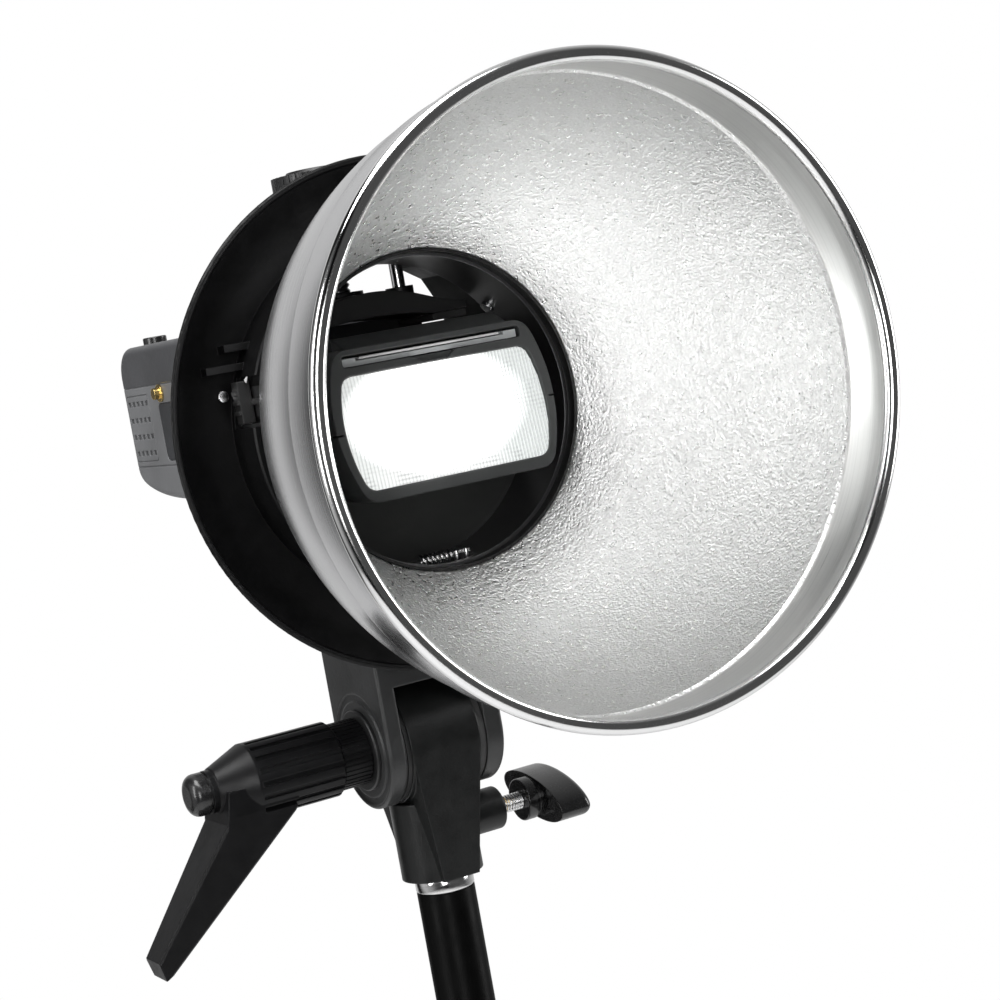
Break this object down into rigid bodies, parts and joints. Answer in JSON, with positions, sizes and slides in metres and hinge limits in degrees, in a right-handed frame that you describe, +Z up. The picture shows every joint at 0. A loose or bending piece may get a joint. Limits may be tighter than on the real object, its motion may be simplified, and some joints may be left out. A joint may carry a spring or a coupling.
{
  "type": "flash gun with bayonet bracket and reflector",
  "caption": "Hot-shoe flash clamped in a bayonet bracket with a stippled bowl reflector, on a ratchet-lever tilt adapter with a light stand socket.",
  "frame": {"origin": "centre of the mouth of the stand socket, at the adapter's bottom end", "axes": "+Z up along the stand socket, -Y the way the reflector opens, +X towards the wing knob's side; the tilt axis runs along X"},
  "size_m": [0.1928, 0.2914, 0.2486],
  "materials": {
    "adapter_body": "satin moulded",
    "adapter_rosette": "satin moulded",
    "friction_washer": "matte",
    "screw_insert": "turned",
    "clamp_pad": "turned",
    "wing_screw": "zinc plated",
    "wing_knob": "gloss",
    "fork": "satin moulded",
    "fork_rosette": "satin moulded",
    "tilt_stud": "black zinc",
    "ear_washer": "satin",
    "clamp_frame": "satin moulded",
    "mount_flange": "fine texture",
    "bayonet_ring": "dark anodised, turned",
    "ring_screws": "bright",
    "detent_posts": "bright",
    "detent_spring": "bright wire",
    "flange_screw": "bright",
    "index_mark": "white paint",
    "cradle_pad": "ribbed",
    "guide_bushes": "bright",
    "clamp_nut": "turned",
    "latch_slider": "ribbed",
    "latch_pin": "bright",
    "jaw_arch": "satin moulded",
    "jaw_pads": "matte",
    "guide_rods": "bright",
    "clamp_screw": "black oxide thread",
    "clamp_knob": "knurled",
    "lever_sleeve": "satin moulded",
    "lever_handle": "satin moulded",
    "lever_cap": "gloss",
    "lever_spring": "spring steel",
    "reflector_bowl": "stippled bright inside, satin outside",
    "throat_trim": "black",
    "reflector_flange": "black anodised",
    "head_bezel": "satin moulded",
    "head_shell": "satin moulded",
    "fresnel_window": "ribbed, lit from behind",
    "tube_reflector": "mirror sheet",
    "flash_tube": "glowing",
    "wide_panel": "clear ribbed",
    "bounce_card": "white",
    "head_yoke": "satin moulded",
    "body_shell": "fine texture",
    "control_panel": "satin moulded",
    "lcd_screen": "clear window over a grey-green display",
    "main_board": "green board",
    "capacitor": "sleeved can",
    "battery_cells": "wrapped cells",
    "sync_post": "plated",
    "foot": "plated foot on a black base",
    "battery_door": "fine texture",
    "select_dial": "gloss with fluted edge",
    "mode_button": "matte",
    "light_button": "matte",
    "test_button": "gloss black",
    "power_switch": "satin",
    "lock_lever": "satin moulded",
    "terminal_cover": "matte"
  },
  "bodies": {
    "adapter": {"adapter_body": "adapter_body", "adapter_rosette": "adapter_rosette", "friction_washer": "friction_washer", "screw_insert": "screw_insert"},
    "clamp_pad_body": {"clamp_pad": "clamp_pad"},
    "wing": {"wing_screw": "wing_screw", "wing_knob": "wing_knob"},
    "bracket": {"fork": "fork", "fork_rosette": "fork_rosette", "tilt_stud": "tilt_stud", "ear_washer": "ear_washer", "clamp_frame": "clamp_frame", "mount_flange": "mount_flange", "bayonet_ring": "bayonet_ring", "ring_screws": "ring_screws", "detent_posts": "detent_posts", "detent_spring": "detent_spring", "flange_screw": "flange_screw", "index_mark": "index_mark", "cradle_pad": "cradle_pad", "guide_bushes": "guide_bushes", "clamp_nut": "clamp_nut"},
    "latch": {"latch_slider": "latch_slider", "latch_pin": "latch_pin"},
    "upper_jaw": {"jaw_arch": "jaw_arch", "jaw_pads": "jaw_pads", "guide_rods": "guide_rods"},
    "clamp_screw_body": {"clamp_screw": "clamp_screw", "clamp_knob": "clamp_knob"},
    "sleeve": {"lever_sleeve": "lever_sleeve"},
    "lever": {"lever_handle": "lever_handle", "lever_cap": "lever_cap", "lever_spring": "lever_spring"},
    "reflector": {"reflector_bowl": "reflector_bowl", "throat_trim": "throat_trim", "reflector_flange": "reflector_flange"},
    "flash_head": {"head_bezel": "head_bezel", "head_shell": "head_shell", "fresnel_window": "fresnel_window", "tube_reflector": "tube_reflector", "flash_tube": "flash_tube"},
    "diffuser": {"wide_panel": "wide_panel"},
    "card": {"bounce_card": "bounce_card"},
    "yoke": {"head_yoke": "head_yoke"},
    "flash_body": {"body_shell": "body_shell", "control_panel": "control_panel", "lcd_screen": "lcd_screen", "main_board": "main_board", "capacitor": "capacitor", "battery_cells": "battery_cells", "sync_post": "sync_post", "foot": "foot"},
    "door": {"battery_door": "battery_door"},
    "dial": {"select_dial": "select_dial"},
    "mode_key": {"mode_button": "mode_button"},
    "light_key": {"light_button": "light_button"},
    "test_key": {"test_button": "test_button"},
    "switch": {"power_switch": "power_switch"},
    "foot_lock": {"lock_lever": "lock_lever"},
    "side_cover": {"terminal_cover": "terminal_cover"}
  },
  "joints": [
    {"name": "tilt", "type": "hinge", "parent": "adapter", "child": "bracket", "pos_m": [0, 0, 0.0465], "axis": [1, 0, 0], "range_deg": [-60, 75]},
    {"name": "pad_slide", "type": "slide", "parent": "adapter", "child": "clamp_pad_body", "axis": [1, 0, 0], "range_m": [-0.002, 0.004]},
    {"name": "wing_turn", "type": "hinge", "parent": "clamp_pad_body", "child": "wing", "pos_m": [0.02, 0, 0.0158], "axis": [1, 0, 0], "range_deg": [-728, 1456]},
    {"name": "lever_turn", "type": "hinge", "parent": "bracket", "child": "sleeve", "pos_m": [-0.027, 0, 0.0465], "axis": [1, 0, 0], "range_deg": [0, 360]},
    {"name": "lever_pull", "type": "slide", "parent": "sleeve", "child": "lever", "axis": [-1, 0, 0], "range_m": [0, 0.007], "stiffness_N_per_m": 900, "springref_m": -0.003, "deforming": ["lever_spring"]},
    {"name": "reflector_twist", "type": "hinge", "parent": "bracket", "child": "reflector", "pos_m": [0, -0.054, 0.1525], "axis": [0, -1, 0], "range_deg": [0, 32]},
    {"name": "latch_slide", "type": "slide", "parent": "bracket", "child": "latch", "axis": [0, 1, 0], "range_m": [0, 0.002], "stiffness_N_per_m": 500, "springref_m": -0.001},
    {"name": "jaw_slide", "type": "slide", "parent": "bracket", "child": "upper_jaw", "axis": [0, 0, 1], "range_m": [0, 0.009]},
    {"name": "knob_turn", "type": "hinge", "parent": "upper_jaw", "child": "clamp_screw_body", "pos_m": [0, 0, 0.2275], "axis": [0, 0, 1], "range_deg": [-9, 1638]},
    {"name": "flash_slide", "type": "slide", "parent": "bracket", "child": "flash_head", "axis": [0, 1, 0], "range_m": [0, 0.02]},
    {"name": "wide_panel_slide", "type": "slide", "parent": "flash_head", "child": "diffuser", "axis": [0, -1, 0], "range_m": [0, 0.045]},
    {"name": "bounce_card_slide", "type": "slide", "parent": "flash_head", "child": "card", "axis": [0, -1, 0], "range_m": [0, 0.045]},
    {"name": "head_tilt", "type": "hinge", "parent": "flash_head", "child": "yoke", "pos_m": [0, 0.027, 0.1545], "axis": [1, 0, 0], "range_deg": [-60, 0]},
    {"name": "head_swivel", "type": "hinge", "parent": "yoke", "child": "flash_body", "pos_m": [0, 0.04, 0.161], "axis": [0, 1, 0], "range_deg": [-180, 180]},
    {"name": "battery_door_hinge", "type": "hinge", "parent": "flash_body", "child": "door", "pos_m": [0.0379, 0.076, 0.1403], "axis": [0, 1, 0], "range_deg": [0, 95]},
    {"name": "select_dial_turn", "type": "hinge", "parent": "flash_body", "child": "dial", "pos_m": [0, 0.086, 0.1875], "axis": [0, 0, 1], "continuous": true},
    {"name": "mode_press", "type": "slide", "parent": "flash_body", "child": "mode_key", "axis": [0, 0, -1], "range_m": [0, 0.001], "stiffness_N_per_m": 200, "springref_m": -0.0005},
    {"name": "light_press", "type": "slide", "parent": "flash_body", "child": "light_key", "axis": [0, 0, -1], "range_m": [0, 0.001], "stiffness_N_per_m": 200, "springref_m": -0.0005},
    {"name": "test_press", "type": "slide", "parent": "flash_body", "child": "test_key", "axis": [0, 0, -1], "range_m": [0, 0.001], "stiffness_N_per_m": 200, "springref_m": -0.0005},
    {"name": "power_switch_slide", "type": "slide", "parent": "flash_body", "child": "switch", "axis": [1, 0, 0], "range_m": [0, 0.0044]},
    {"name": "lock_lever_turn", "type": "hinge", "parent": "flash_body", "child": "foot_lock", "pos_m": [0, 0.118, 0.161], "axis": [0, 1, 0], "range_deg": [0, 60]},
    {"name": "terminal_cover_hinge", "type": "hinge", "parent": "flash_body", "child": "side_cover", "pos_m": [-0.038, 0.0596, 0.1575], "axis": [0, 0, 1], "range_deg": [0, 100]}
  ],
  "couplings": [
    {"joint": "wing_turn", "follows": "pad_slide", "rad_per_m": 6283.2},
    {"joint": "knob_turn", "follows": "jaw_slide", "rad_per_m": 3141.6}
  ]
}
